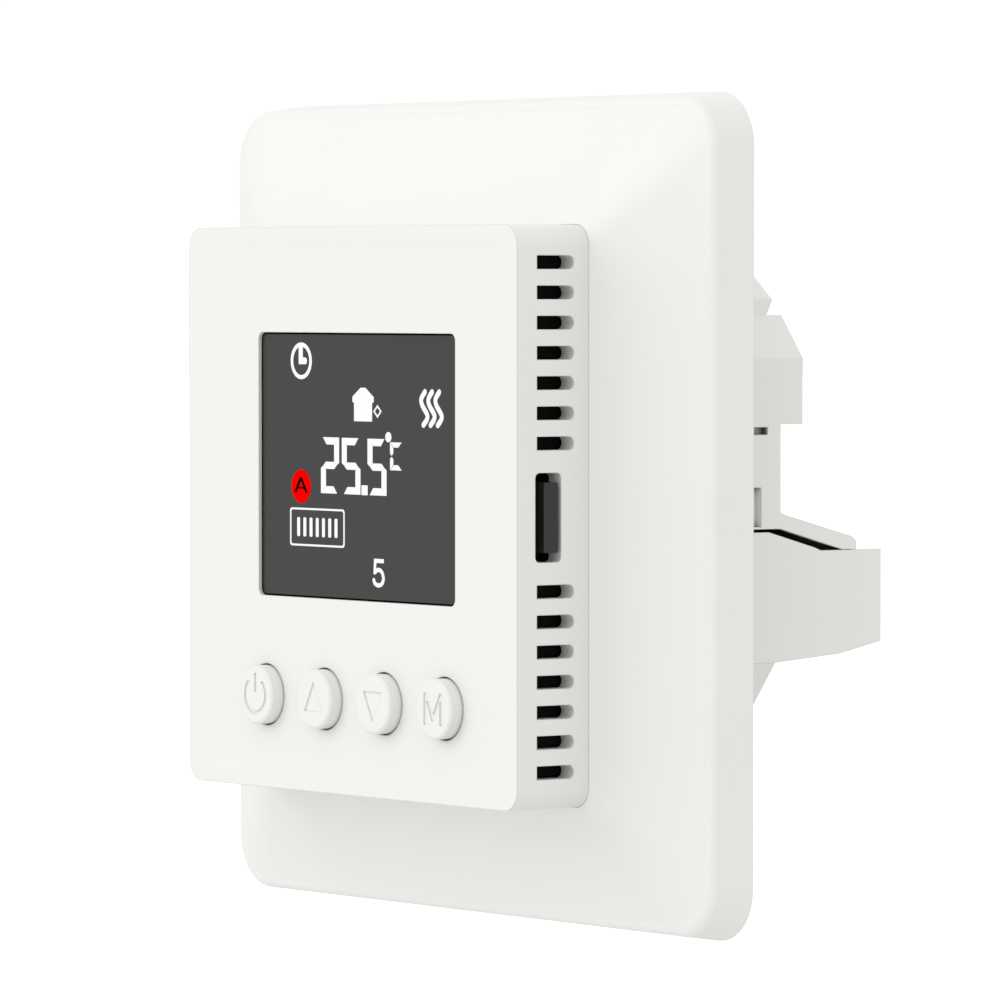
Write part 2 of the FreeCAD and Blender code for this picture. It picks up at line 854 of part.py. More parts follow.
def slope_depth(half):
    """Depth of the sloping front at a given half size, a little steeper towards the rim."""
    start = d.frame_half.value - d.frame_draft.value - d.frame_edge_round.value
    foot = d.frame_side.value + d.frame_edge_round.value
    along = (start - half) / (start - d.rim_half.value)
    share = d.frame_slope_share.value
    return foot + (d.rim_depth.value - foot) * (share * along + (1 - share) * along * along)


def frame_profile():
    """Front profile from the outer wall to the rim, as (half size, depth)."""
    shoulder = d.frame_half.value - d.frame_draft.value
    side, edge = d.frame_side.value, d.frame_edge_round.value
    points = [(d.frame_half.value, 0.0)]
    for step in range(EDGE_STEPS):
        angle = math.radians(90 * step / EDGE_STEPS)
        points.append((shoulder - edge * (1 - math.cos(angle)), side + edge * math.sin(angle)))
    start = shoulder - edge
    for step in range(SLOPE_STEPS + 1):
        half = start + (d.rim_half.value - start) * step / SLOPE_STEPS
        points.append((half, slope_depth(half)))
    return points


def frame_corner(half):
    """Corner radius at a given half size, shrinking from the outer wall to the rim."""
    outer, inner = d.frame_half.value, d.rim_half.value
    share = (half - inner) / (outer - inner)
    return d.rim_round.value + (d.frame_round.value - d.rim_round.value) * share


def frame_hollow():
    """Room behind the sloping front, around the skirt that hangs from the rim."""
    wide = d.frame_half.value - d.frame_wall.value
    skirt = d.rim_half.value + d.rim_wall.value
    start = d.frame_half.value - d.frame_draft.value - d.frame_edge_round.value
    room = stacked([
        (wide, frame_corner(wide), OVER),
        (wide, frame_corner(wide), -slope_depth(start) + d.frame_skin.value),
        (skirt, frame_corner(skirt), -slope_depth(skirt) + d.frame_skin.value),
    ])
    wall = stacked([(skirt, frame_corner(skirt), y) for y in (-d.skirt_rear.value, FAR_FRONT)])
    return room.cut(wall)


def frame_legs():
    """Short legs that rest the skirt on the mounting plate beside the unit's corners."""
    rear = d.skirt_rear.value + d.play.value
    length = rear - d.plate_thick.value
    wide, long = d.rim_wall.value, d.leg_long.value
    near = d.rim_half.value
    low = d.leg_at.value
    legs = []
    for sx, sz in CORNERS:
        leg = Part.makeBox(wide, length, long)
        leg.translate(FreeCAD.Vector(near if sx > 0 else -near - wide, -rear, low if sz > 0 else -low - long))
        legs.append(leg)
    return legs


def make_decor_frame():
    outer = stacked([(half, frame_corner(half), -depth) for half, depth in frame_profile()])
    way = stacked([(d.rim_half.value, d.rim_round.value, y) for y in (OVER, FAR_FRONT)])
    shape = outer.cut(way).cut(frame_hollow()).fuse(frame_legs())
    coded("decor_frame", shape.removeSplitter())


def box_slots():
    """Two radial slots on X and two on Z, for the wall box screws."""
    span = (-d.plate_thick - OVER, sized(OVER))
    radius = d.box_slot_radius
    reach = d.box_slot_length * 0.5 - radius
    tools = []
    for side in (1, -1):
        at = d.box_screw_at * side
        name = "plate_slot_%s" % ("plus" if side > 0 else "minus")
        tools.append(box(name + "_x", (at - reach, at + reach), span, (-radius, radius)))
        tools.append(box(name + "_z", (-radius, radius), span, (at - reach, at + reach)))
        for end in (1, -1):
            tools.append(rod("%s_x_end_%d" % (name, end + 1), "Y", (at + reach * end, 0), span, radius))
            tools.append(rod("%s_z_end_%d" % (name, end + 1), "Y", (0, at + reach * end), span, radius))
    return tools


def lid_holes(name, span, radius):
    made = []
    for i, (sx, sz) in enumerate(CORNERS):
        at = (d.lid_screw_at * sx, d.lid_screw_at * sz)
        made.append(rod("%s_%d" % (name, i), "Y", at, span, radius))
    return made


def make_mounting_plate():
    half = d.plate_half
    sheet_metal = slab("plate_blank", "XZ", (0, 0), (half, half), d.plate_round, (-d.plate_thick, 0))
    way = slab("plate_way", "XZ", (0, 0), (d.plate_way_x, d.plate_way_z), d.plate_way_round,
               (-d.plate_thick - OVER, OVER))
    holes = lid_holes("plate_screw_hole", (-d.plate_thick - OVER, OVER), d.small_hole)
    cut("mounting_plate", sheet_metal, [way] + holes + box_slots())


# ---------------------------------------------------------------- rear housing


def mirrored(right):
    """Both halves of an outline from its right half, listed from bottom to top."""
    return right + [(-x, z) for x, z in reversed(right)]


def stepped_ring(inset):
    """Outline of the housing, straight sides with two slanted steps at each corner."""
    quarter = [
        (d.housing_half_x - inset, d.housing_shoulder_z - inset * SHOULDER_SHARE),
        (d.housing_step_x - inset * STEP_SHARE, d.housing_step_z - inset * STEP_SHARE),
        (d.housing_end_x - inset * SHOULDER_SHARE, d.housing_end_z - inset),
    ]
    return mirrored([(x, -z) for x, z in reversed(quarter)] + quarter)


def upper_ring(inset):
    side = d.housing_half_x - inset
    return mirrored([
        (side, d.upper_bottom + inset),
        (side, d.housing_shoulder_z - inset * SHOULDER_SHARE),
        (d.housing_step_x - inset * UPPER_STEP_SHARE, d.housing_step_z - inset),
    ])


def make_lug():
    block = outline("lug_block", "XZ", mirrored([
        (d.housing_step_x, d.housing_step_z - d.lug_root),
        (d.housing_step_x, d.lug_side_z),
        (d.lug_mid_x, d.lug_mid_z),
        (d.lug_top_x, d.lug_top_z),
    ]), (-d.plate_thick, d.lug_rear))
    undercut = outline("lug_undercut", "YZ", [
        (d.lug_neck, d.housing_step_z),
        (d.lug_rear + OVER, d.housing_step_z),
        (d.lug_rear + OVER, d.lug_side_z),
        (d.lug_rear, d.lug_side_z),
    ], (-d.housing_half_x, d.housing_half_x))
    return cut("housing_lug", block, [undercut])


def make_wing():
    """Slanted barrier over the terminal block, with a lip that reaches down between its end walls."""
    x = d.housing_half_x
    sheet = outline("wing_sheet", "YZ", [
        (d.wing_root, d.wing_root_top),
        (d.strip_rear, d.wing_root_top),
        (d.wing_curve, d.wing_curve_z),
        (d.wing_bend, d.wing_bend_z),
        (d.wing_far, d.wing_far_z),
        (d.wing_nose, d.wing_nose_z),
        (d.wing_tip, d.wing_tip_z),
        (d.wing_tip, d.wing_end_z),
        (d.wing_heel, d.wing_end_z),
        (d.strip_rear, d.wing_root_low),
        (d.wing_root, d.wing_root_low),
    ], (-x, x))
    lip = box("wing_lip", (-d.wing_lip_half_x, d.wing_lip_half_x), (d.wing_lip_front, d.wing_tip),
              (d.wing_lip_z, d.wing_end_z + d.seam))
    return fuse("housing_wing", [sheet, lip])


def side_recesses():
    outer = d.housing_half_x
    deep = outer - d.recess_deep
    low = (d.recess_low_bottom, d.recess_low_top)
    high = (d.recess_high_bottom, d.recess_high_top)
    made = []
    for x, label in (((deep, outer + OVER), "right"), ((-outer - OVER, -deep), "left")):
        made.append(box("recess_low_" + label, x, (d.recess_front, d.recess_low_rear), low))
        made.append(box("recess_high_" + label, x, (d.recess_front, d.recess_high_rear), high))
    return made


def make_rear_housing():
    wall = d.housing_wall
    flange_half = d.flange_half
    inner_rear = d.housing_rear - wall
    x = d.housing_half_x
    blank = fuse("housing_blank", [
        slab("housing_flange", "XZ", (0, 0), (flange_half, flange_half), d.flange_round,
             (-d.lid_rear, -d.plate_thick)),
        outline("housing_main", "XZ", stepped_ring(sized(0)), (-d.lid_rear, d.housing_rear)),
        outline("housing_upper", "XZ", upper_ring(sized(0)), (inner_rear, d.upper_rear)),
        box("housing_strip", (-x, x), (inner_rear, d.strip_rear), (d.strip_bottom, d.upper_bottom)),
        make_lug(),
        make_wing(),
    ])
    tools = [
        outline("housing_hollow", "XZ", stepped_ring(wall), (-d.lid_rear - OVER, inner_rear)),
        outline("housing_upper_hollow", "XZ", upper_ring(wall), (d.upper_front, d.upper_rear - wall)),
        box("housing_block_way", (-x - OVER, x + OVER), (inner_rear, d.housing_rear + d.play),
            (d.block_bottom, d.wing_root_low)),
        box("housing_ear_way_right", (x - wall, x + OVER), (d.ear_front - d.seam, inner_rear + d.seam),
            (d.block_bottom, d.wing_root_low)),
        box("housing_ear_way_left", (-x - OVER, -x + wall), (d.ear_front - d.seam, inner_rear + d.seam),
            (d.block_bottom, d.wing_root_low)),
    ]
    tools += lid_holes("housing_screw_hole", (-d.lid_rear - OVER, 0), d.small_hole)
    shell = cut("housing_shell", blank, tools + side_recesses())
    rib = (d.power_front + d.power_thick, inner_rear)
    height = (-d.rib_half_z, d.rib_half_z)
    inner = x - wall
    reach = inner - d.rib_thick
    fuse("rear_housing", [
        shell,
        box("housing_rib_right", (reach, inner + d.seam), rib, height),
        box("housing_rib_left", (-inner - d.seam, -reach), rib, height),
    ])


def make_lid():
    half = d.lid_half
    span = (-d.lid_front - OVER, -d.lid_rear + OVER)
    plate = slab("lid_plate", "XZ", (0, 0), (half, half), d.flange_round, (-d.lid_front, -d.lid_rear))
    right = latch_window("lid_latch_way", span)
    left = box("lid_hook_way", (-d.latch_inner - d.latch_leg - d.play, -d.latch_way), span,
               (-d.latch_way_half, d.latch_way_half))
    sink = -d.lid_front + d.head_sink
    tools = [right, left, header_way("lid_header_way", d.header_clear, span)]
    tools += lid_holes("lid_screw_hole", span, d.small_hole)
    tools += lid_holes("lid_screw_sink", (-d.lid_front - OVER, sink), d.small_head + d.play)
    cut("housing_lid", plate, tools)
    screws = []
    for i, (sx, sz) in enumerate(CORNERS):
        at = (d.lid_screw_at * sx, d.lid_screw_at * sz)
        screws.append(screw("housing_screw_%d" % i, at, -d.lid_front, d.head_sink, -d.seam))
    group("housing_screws", screws)


# ---------------------------------------------------------------- terminals


def way_x(index):
    return d.way_pitch * (index - 2.5)


def make_terminal_block():
    x = d.housing_half_x
    body = outline("block_body", "YZ", [
        (d.block_front, d.block_crown),
        (d.block_brow, d.block_crown),
        (d.block_ramp, d.block_ramp_z),
        (d.block_step, d.block_top),
        (d.block_rear, d.block_top),
        (d.block_rear, d.block_heel_z),
        (d.block_belly, d.block_belly_z),
        (d.block_toe, d.block_bottom),
        (d.block_front, d.block_bottom),
    ], (-x, x))
    ear = (d.ear_front, d.block_front + d.seam)
    height = (d.block_bottom, d.block_crown)
    blank = fuse("block_blank", [
        body,
        box("block_ear_right", (x - d.ear_thick, x), ear, height),
        box("block_ear_left", (-x, -x + d.ear_thick), ear, height),
    ])
    low = x - d.block_end_wall
    tools = [box("block_step_way", (-low, low), (d.block_step, d.block_rear + OVER),
                 (d.block_low_top, d.block_top + OVER))]
    z = d.clamp_z
    for i in WAYS:
        c = way_x(i)
        name = "block_way_%d" % (i + 1)
        tools.append(box(name, (c - d.chamber_half_x, c + d.chamber_half_x),
                         (d.chamber_front, d.chamber_rear), (d.chamber_bottom, d.chamber_top)))
        tools.append(box(name + "_mouth", (c - d.mouth_half_x, c + d.mouth_half_x),
                         (d.mouth_front, d.mouth_rear), (d.block_bottom - OVER, d.chamber_bottom + OVER)))
        bar = d.bar_half_x + d.play
        tools.append(box(name + "_bar_slot", (c - bar, c + bar),
                         (d.block_front - OVER, d.chamber_front + OVER),
                         (d.chamber_top - d.bar_leg - d.seam, d.chamber_top)))
        tools.append(rod(name + "_shank_hole", "Y", (c, z), (d.chamber_rear - OVER, d.clamp_ledge + OVER),
                         d.clamp_ledge_hole))
        tools.append(rod(name + "_head_bore", "Y", (c, z), (d.clamp_ledge, d.block_rear + OVER),
                         d.clamp_head_bore))
    cut("terminal_block", blank, tools)


def make_clamp(index):
    c, z = way_x(index), d.clamp_z
    name = "terminal_screw_%d" % (index + 1)
    head = (d.clamp_head_front, d.clamp_head_rear)
    blank = fuse(name + "_blank", [
        rod(name + "_head", "Y", (c, z), head, d.clamp_head),
        rod(name + "_shank", "Y", (c, z), (d.clamp_tip, d.clamp_head_front), d.clamp_screw),
    ])
    slot = box(name + "_slot", (c - d.clamp_head_bore, c + d.clamp_head_bore),
               (d.clamp_head_rear - d.driver_slot_depth, d.block_rear),
               (z - d.driver_slot_half, z + d.driver_slot_half))
    cut(name, blank, [slot])
    name = "terminal_cage_%d" % (index + 1)
    wide, tall = d.cage_half_x, d.cage_half_z
    inner = wide - d.cage_side
    ring = box(name + "_block", (c - wide, c + wide), (d.cage_front, d.cage_rear), (z - tall, z + tall))
    way = box(name + "_way", (c - inner, c + inner),
              (d.cage_front + d.cage_wall, d.cage_rear - d.cage_wall), (z - tall - OVER, z + tall + OVER))
    thread = rod(name + "_thread", "Y", (c, z), (d.cage_rear - d.cage_wall - OVER, d.cage_rear + OVER),
                 d.clamp_screw + d.clamp_fit)
    cut(name, ring, [way, thread])


def make_bars():
    front = d.mouth_rear
    rear = front + d.bar_thick
    top = d.chamber_top - d.clamp_fit
    power_rear = d.power_front + d.power_thick
    bars = []
    for i in WAYS:
        x = (way_x(i) - d.bar_half_x, way_x(i) + d.bar_half_x)
        name = "contact_bar_%d" % (i + 1)
        bars.append(fuse(name, [
            box(name + "_face", x, (front, rear), (d.chamber_bottom + d.bar_foot, top)),
            box(name + "_leg", x, (power_rear, rear), (top - d.bar_leg, top)),
        ]))
    group("contact_bars", bars)


# ---------------------------------------------------------------- base electronics


def wire_lead(name, x, span):
    wire = d.wire_half
    return box(name, (x - wire, x + wire), span, (d.can_z - wire, d.can_z + wire))


def make_base_electronics():
    front = d.power_front
    rear = front + d.power_thick
    outline("power_board", "XZ", stepped_ring(d.power_inset), (front, rear))
    z = (d.tall_bottom, d.tall_top)
    box("relay", (d.relay_low_x, d.relay_high_x), (rear, d.tall_rear), z)
    box("power_supply", (d.supply_low_x, d.supply_high_x), (rear, d.tall_rear), z)
    can = (rear, d.can_rear)
    group("capacitors", [
        rod("capacitor_left", "Y", (d.can_left_x, d.can_z), can, d.can_radius),
        rod("capacitor_right", "Y", (d.can_right_x, d.can_z), can, d.can_radius),
    ])
    middle = rear + d.disc_radius + d.disc_rise
    fuse("varistor", [
        rod("varistor_disc", "X", (middle, d.can_z), (d.disc_x - d.disc_half, d.disc_x + d.disc_half),
            d.disc_radius),
        wire_lead("varistor_lead", d.disc_x, (rear, middle)),
    ])
    tube = rear + d.link_radius + d.link_rise
    fuse("fuse_link", [
        rod("fuse_tube", "X", (tube, d.can_z), (d.link_x - d.link_half, d.link_x + d.link_half),
            d.link_radius),
        wire_lead("fuse_lead_left", d.link_x - d.link_lead_at, (rear, tube)),
        wire_lead("fuse_lead_right", d.link_x + d.link_lead_at, (rear, tube)),
    ])


# ---------------------------------------------------------------- build, check, write

NODES = [
    "front_cover", "display_window", "lcd_panel", "lcd_backlight", "lcd_holder",
    "power_button", "up_button", "down_button", "menu_button",
    "power_plunger", "up_plunger", "down_plunger", "menu_plunger", "tact_switches",
    "control_board", "control_chips", "board_screws", "room_sensor", "header_pins", "header_socket",
    "inner_chassis", "release_latch", "latch_spring",
    "decor_frame", "mounting_plate", "housing_lid", "housing_screws", "rear_housing",
    "terminal_block", "contact_bars",
    "power_board", "relay", "power_supply", "capacitors", "varistor", "fuse_link",
]
NODES += ["terminal_screw_%d" % (i + 1) for i in WAYS]
NODES += ["terminal_cage_%d" % (i + 1) for i in WAYS]


def build():
    make_front_cover()
    make_display()
    for i, name in enumerate(BUTTON_NAMES):
        make_button(i, name)
    make_switches()
    make_control_board()
    make_room_sensor()
    make_header()
    make_chassis()
    make_latch()
    make_spring()
    make_decor_frame()
    make_mounting_plate()
    make_rear_housing()
    make_lid()
    make_terminal_block()
    make_bars()
    for i in WAYS:
        make_clamp(i)
    make_base_electronics()
    doc.recompute()


def check():
    for thing in doc.Objects:
        bad = [state for state in thing.State if state in ("Invalid", "Error")]
        if bad:
            raise RuntimeError("%s is %s" % (thing.Label, ", ".join(bad)))
    for name in NODES:
        shape = doc.getObject(name).Shape
        if shape.isNull() or not shape.isValid() or not shape.Solids:
            raise RuntimeError("%s has no valid solid" % name)


def write():
    os.makedirs("parts", exist_ok=True)
    for name in NODES:
        shape = doc.getObject(name).Shape
        shape.exportStep("parts/%s.step" % name)
        limits = shape.BoundBox
        print("%-18s solids %2d  volume %9.2f  X %7.2f %7.2f  Y %7.2f %7.2f  Z %7.2f %7.2f" % (
            name, len(shape.Solids), shape.Volume, limits.XMin, limits.XMax,
            limits.YMin, limits.YMax, limits.ZMin, limits.ZMax))


build()
check()
write()
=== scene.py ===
import json
import math
import bpy
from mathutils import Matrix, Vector


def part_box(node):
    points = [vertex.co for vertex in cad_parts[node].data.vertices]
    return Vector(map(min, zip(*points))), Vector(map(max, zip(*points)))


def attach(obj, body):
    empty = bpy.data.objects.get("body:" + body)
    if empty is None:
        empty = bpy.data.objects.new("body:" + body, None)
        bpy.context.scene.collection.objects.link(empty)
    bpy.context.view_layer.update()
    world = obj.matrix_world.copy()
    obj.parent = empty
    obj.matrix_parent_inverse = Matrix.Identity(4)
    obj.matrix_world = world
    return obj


# Wall thermostat. The same frame as the CAD: X right, Y into the wall, Z up, in metres.

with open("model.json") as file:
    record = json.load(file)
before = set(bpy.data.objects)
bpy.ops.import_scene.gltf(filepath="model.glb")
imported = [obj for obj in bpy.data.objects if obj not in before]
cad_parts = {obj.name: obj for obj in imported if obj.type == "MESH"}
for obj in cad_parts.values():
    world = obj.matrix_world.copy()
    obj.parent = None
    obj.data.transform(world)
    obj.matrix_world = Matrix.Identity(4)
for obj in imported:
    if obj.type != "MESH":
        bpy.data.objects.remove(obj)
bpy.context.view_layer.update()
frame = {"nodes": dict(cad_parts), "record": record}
MM = 0.001
BASE = "thermostat_base"
WHITE = (1.0, 1.0, 1.0)


# ---------------------------------------------------------------- materials

# the part of a noise texture's range that holds nearly all of its values
NOISE_LOW, NOISE_HIGH = 0.3, 0.7
EDGE_SAMPLES = 6
HOLLOW_SAMPLES = 8


def new_material(name, color, roughness, metallic=0.0, coat=0.0):
    mat = bpy.data.materials.new(name)
    mat.use_nodes = True
    shader = mat.node_tree.nodes["Principled BSDF"]
    shader.inputs["Base Color"].default_value = (*color, 1.0)
    shader.inputs["Roughness"].default_value = roughness
    shader.inputs["Metallic"].default_value = metallic
    shader.inputs["Coat Weight"].default_value = coat
    return mat, shader


def object_coordinates(tree):
    return tree.nodes.new("ShaderNodeTexCoord").outputs["Object"]


def noise(tree, scale, detail=3.0):
    node = tree.nodes.new("ShaderNodeTexNoise")
    node.inputs["Scale"].default_value = scale
    node.inputs["Detail"].default_value = detail
    tree.links.new(object_coordinates(tree), node.inputs["Vector"])
    return node.outputs["Fac"]


def spread(tree, fac, low, high):
    """Map a noise value between two others."""
    node = tree.nodes.new("ShaderNodeMapRange")
    node.inputs["From Min"].default_value = NOISE_LOW
    node.inputs["From Max"].default_value = NOISE_HIGH
    node.inputs["To Min"].default_value = low
    node.inputs["To Max"].default_value = high
    tree.links.new(fac, node.inputs["Value"])
    return node.outputs["Result"]


def vary_color(tree, shader, fac, color, amount):
    """Colour that strays by a small share either side of the given one."""
    mix = tree.nodes.new("ShaderNodeMix")
    mix.data_type = "RGBA"
    mix.inputs["A"].default_value = (*[c * (1 - amount) for c in color], 1.0)
    mix.inputs["B"].default_value = (*[min(1.0, c * (1 + amount)) for c in color], 1.0)
    tree.links.new(fac, mix.inputs["Factor"])
    tree.links.new(mix.outputs["Result"], shader.inputs["Base Color"])


def add_relief(tree, shader, height, strength, distance, edge=0.0):
    """Bump from a height value, over normals softened at the edges."""
    bump = tree.nodes.new("ShaderNodeBump")
    bump.inputs["Strength"].default_value = strength
    bump.inputs["Distance"].default_value = distance
    tree.links.new(height, bump.inputs["Height"])
    if edge > 0:
        soft = tree.nodes.new("ShaderNodeBevel")
        soft.samples = EDGE_SAMPLES
        soft.inputs["Radius"].default_value = edge
        tree.links.new(soft.outputs["Normal"], bump.inputs["Normal"])
    tree.links.new(bump.outputs["Normal"], shader.inputs["Normal"])


def moulded(name, color, roughness=0.45, grain=2600.0, depth=0.012 * MM, edge=0.15 * MM, amount=0.012):
    """Moulded plastic with a fine spark-eroded grain."""
    mat, shader = new_material(name, color, roughness)
    tree = mat.node_tree
    fine = noise(tree, grain, 4.0)
    broad = noise(tree, 60.0, 2.0)
    vary_color(tree, shader, broad, color, amount)
    tree.links.new(spread(tree, fine, roughness - 0.05, roughness + 0.06), shader.inputs["Roughness"])
    add_relief(tree, shader, fine, 0.5, depth, edge)
    return mat


def metal(name, color, roughness, scale=900.0, edge=0.05 * MM):
    """Bare or plated metal with fine streaks."""
    mat, shader = new_material(name, color, roughness, metallic=1.0)
    tree = mat.node_tree
    streak = noise(tree, scale, 5.0)
    vary_color(tree, shader, streak, color, 0.06)
    tree.links.new(spread(tree, streak, roughness - 0.08, roughness + 0.1), shader.inputs["Roughness"])
    add_relief(tree, shader, streak, 0.3, 0.01 * MM, edge)
    return mat


def pane_material():
    """Dark satin display pane."""
    color = (0.0265, 0.026, 0.025)
    mat, shader = new_material("display_pane", color, 0.3)
    shader.inputs["Specular IOR Level"].default_value = 0.3
    tree = mat.node_tree
    haze = noise(tree, 90.0, 2.0)
    vary_color(tree, shader, haze, color, 0.03)
    tree.links.new(spread(tree, haze, 0.28, 0.34), shader.inputs["Roughness"])
    add_relief(tree, shader, noise(tree, 4000.0), 0.2, 0.002 * MM)
    return mat


def lit_material(name, color):
    """Lit display sign: black without its light, with a slightly uneven glow."""
    mat, shader = new_material(name, (0.0, 0.0, 0.0), 0.5)
    tree = mat.node_tree
    shader.inputs["Specular IOR Level"].default_value = 0.0
    shader.inputs["Emission Color"].default_value = (*color, 1.0)
    glow = spread(tree, noise(tree, 500.0), 0.98, 1.02)
    tree.links.new(glow, shader.inputs["Emission Strength"])
    return mat


def dull_black(name, color, roughness, shine):
    """Black that reflects almost nothing."""
    mat = moulded(name, color, roughness, edge=0)
    mat.node_tree.nodes["Principled BSDF"].inputs["Specular IOR Level"].default_value = shine
    return mat


def shade_hollows(mat, reach, closed, open_share, darkest=0.0):
    """Painted shade: darken a material's colour in slots and corners, by the share of open room that a
    point sees.

    A share of `closed` or less scales the colour by `darkest`. From `open_share` up it stays whole.
    """
    tree = mat.node_tree
    shader = tree.nodes["Principled BSDF"]
    seen = tree.nodes.new("ShaderNodeAmbientOcclusion")
    seen.samples = HOLLOW_SAMPLES
    seen.inputs["Distance"].default_value = reach
    ramp = tree.nodes.new("ShaderNodeMapRange")
    ramp.inputs["From Min"].default_value = closed
    ramp.inputs["From Max"].default_value = open_share
    ramp.inputs["To Min"].default_value = darkest
    tree.links.new(seen.outputs["AO"], ramp.inputs["Value"])
    shaded = tree.nodes.new("ShaderNodeVectorMath")
    shaded.operation = "SCALE"
    tree.links.new(shader.inputs["Base Color"].links[0].from_socket, shaded.inputs["Vector"])
    tree.links.new(ramp.outputs["Result"], shaded.inputs["Scale"])
    tree.links.new(shaded.outputs["Vector"], shader.inputs["Base Color"])


def board_material():
    """Green circuit board with a faint weave under its lacquer."""
    color = (0.02, 0.13, 0.055)
    mat, shader = new_material("circuit_board", color, 0.35, coat=0.3)
    tree = mat.node_tree
    weave = noise(tree, 1500.0, 2.0)
    vary_color(tree, shader, weave, color, 0.2)
    add_relief(tree, shader, weave, 0.3, 0.01 * MM)
    return mat


FRONT_WHITE = (0.800, 0.797, 0.765)
BASE_WHITE = (0.815, 0.810, 0.773)

MATERIALS = {
    "front_plastic": moulded("front_plastic", FRONT_WHITE, edge=0.22 * MM),
    "frame_plastic": moulded("frame_plastic", FRONT_WHITE, edge=0.06 * MM),
    "key_plastic": moulded("key_plastic", FRONT_WHITE, edge=0.2 * MM),
    "base_plastic": moulded("base_plastic", BASE_WHITE, edge=0.2 * MM),
    "display_pane": pane_material(),
    "lcd_glass": moulded("lcd_glass", (0.02, 0.022, 0.022), 0.15, edge=0),
    "light_guide": moulded("light_guide", (0.8, 0.82, 0.84), 0.3, edge=0),
    "black_plastic": moulded("black_plastic", (0.012, 0.012, 0.012), 0.4, edge=0.1 * MM, amount=0.1),
    "plunger_plastic": moulded("plunger_plastic", (0.06, 0.06, 0.065), 0.4, edge=0),
    "circuit_board": board_material(),
    "chip_resin": moulded("chip_resin", (0.02, 0.02, 0.022), 0.5, edge=0),
    "zinc_steel": metal("zinc_steel", (0.58, 0.60, 0.62), 0.34),
    "spring_steel": metal("spring_steel", (0.5, 0.5, 0.52), 0.25),
    "sensor_epoxy": moulded("sensor_epoxy", (0.02, 0.02, 0.02), 0.2, edge=0),
    "tinned_brass": metal("tinned_brass", (0.72, 0.62, 0.38), 0.3),
    "relay_plastic": moulded("relay_plastic", (0.02, 0.06, 0.25), 0.35),
    "can_aluminium": metal("can_aluminium", (0.5, 0.52, 0.55), 0.3),
    "varistor_resin": moulded("varistor_resin", (0.03, 0.10, 0.35), 0.25),
    "fuse_glass": moulded("fuse_glass", (0.6, 0.63, 0.6), 0.1, edge=0),
}

# nodes with a finish of their own within their material slot, or a darker copy of it that paints shade
OWN_FINISH_AND_SHADE = {
    # the inner carrier is black plastic made darker and duller than its own black, as painted shade
    # for the deep slots it is seen through
    "inner_chassis": dull_black("carrier_black_painted_shade", (0.003, 0.003, 0.003), 0.6, 0.08),
    "decor_frame": MATERIALS["frame_plastic"],
}

# painted shade: the base plastic goes dark in its slots, and the front plastic a little darker in its
# corners near the frame
shade_hollows(MATERIALS["base_plastic"], 3 * MM, closed=0.12, open_share=0.42)
shade_hollows(MATERIALS["front_plastic"], 6 * MM, closed=0.5, open_share=1.0, darkest=0.9)


def finish_cad_nodes():
    """Every CAD node gets the material of its slot, its own finish, or a darker copy that paints
    shade.
    """
    for part in frame["record"]["subparts"]:
        node = frame["nodes"][part["node"]]
        mat = OWN_FINISH_AND_SHADE.get(part["node"], MATERIALS[part["material_slot"]])
        if not node.material_slots:
            node.data.materials.append(mat)
        for place in node.material_slots:
            place.material = mat


finish_cad_nodes()


# ---------------------------------------------------------------- display signs

# The places and sizes of the signs are in millimetres: across (x) and up (z) from the frame's origin.

# the front face of the pane, which the signs lie on
SIGN_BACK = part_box("display_window")[0].y
SIGN_THICK = 0.03 * MM
# lift that keeps overlapping signs apart
LAYER = 0.01 * MM

LIT = lit_material("display_white", WHITE)
RED = lit_material("display_red", (1.0, 0.0, 0.0))
# black print for the letter on the red disc, also used for the painted shadow line at the pane's edge
INK_AND_SHADE = dull_black("display_ink_and_shade", (0.002, 0.002, 0.002), 0.8, 0.0)


def sign(name, loops, mat, lift=0.0):
    """A flat sign on the pane, from closed loops of (x, z). Inner loops are holes."""
    curve = bpy.data.curves.new(name, "CURVE")
    curve.dimensions = "2D"
    curve.fill_mode = "BOTH"
    curve.extrude = SIGN_THICK / 2
    for loop in loops:
        spline = curve.splines.new("POLY")
        spline.points.add(len(loop) - 1)
        for point, (x, z) in zip(spline.points, loop):
            point.co = (x * MM, z * MM, 0, 1)
        spline.use_cyclic_u = True
    flat = bpy.data.objects.new(name + "_curve", curve)
    bpy.context.scene.collection.objects.link(flat)
    bpy.context.view_layer.update()
    mesh = bpy.data.meshes.new_from_object(flat)
    bpy.data.objects.remove(flat)
    for vertex in mesh.vertices:
        x, z, depth = vertex.co
        vertex.co = (x, SIGN_BACK - SIGN_THICK / 2 - lift - depth, z)
    piece = bpy.data.objects.new(name, mesh)
    bpy.context.scene.collection.objects.link(piece)
    piece.data.materials.clear()
    piece.data.materials.append(mat)
    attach(piece, BASE)


def circle(x, z, radius, steps=64):
    turn = 2 * math.pi / steps
    return [(x + radius * math.cos(turn * i), z + radius * math.sin(turn * i)) for i in range(steps)]


def rectangle(x0, z0, x1, z1):
    return [(x0, z0), (x1, z0), (x1, z1), (x0, z1)]


def round_rectangle(x0, z0, x1, z1, radius, steps=6):
    loop = []
    corners = ((x1 - radius, z0 + radius), (x1 - radius, z1 - radius),
               (x0 + radius, z1 - radius), (x0 + radius, z0 + radius))
    for i, (x, z) in enumerate(corners):
        for step in range(steps + 1):
            angle = math.radians(90 * i - 90 + 90 * step / steps)
            loop.append((x + radius * math.cos(angle), z + radius * math.sin(angle)))
    return loop


def smooth_path(points, steps=10):
    """A Catmull-Rom line through the points."""
    line = []
    ends = [points[0]] + list(points) + [points[-1]]
    for i in range(1, len(ends) - 2):
        a, b, c, e = (Vector(p) for p in ends[i - 1:i + 3])
        for step in range(steps):
            t = step / steps
            line.append(0.5 * (2 * b + (c - a) * t + (2 * a - 5 * b + 4 * c - e) * t * t
                               + (3 * b - a - 3 * c + e) * t ** 3))
    line.append(Vector(points[-1]))
    return line


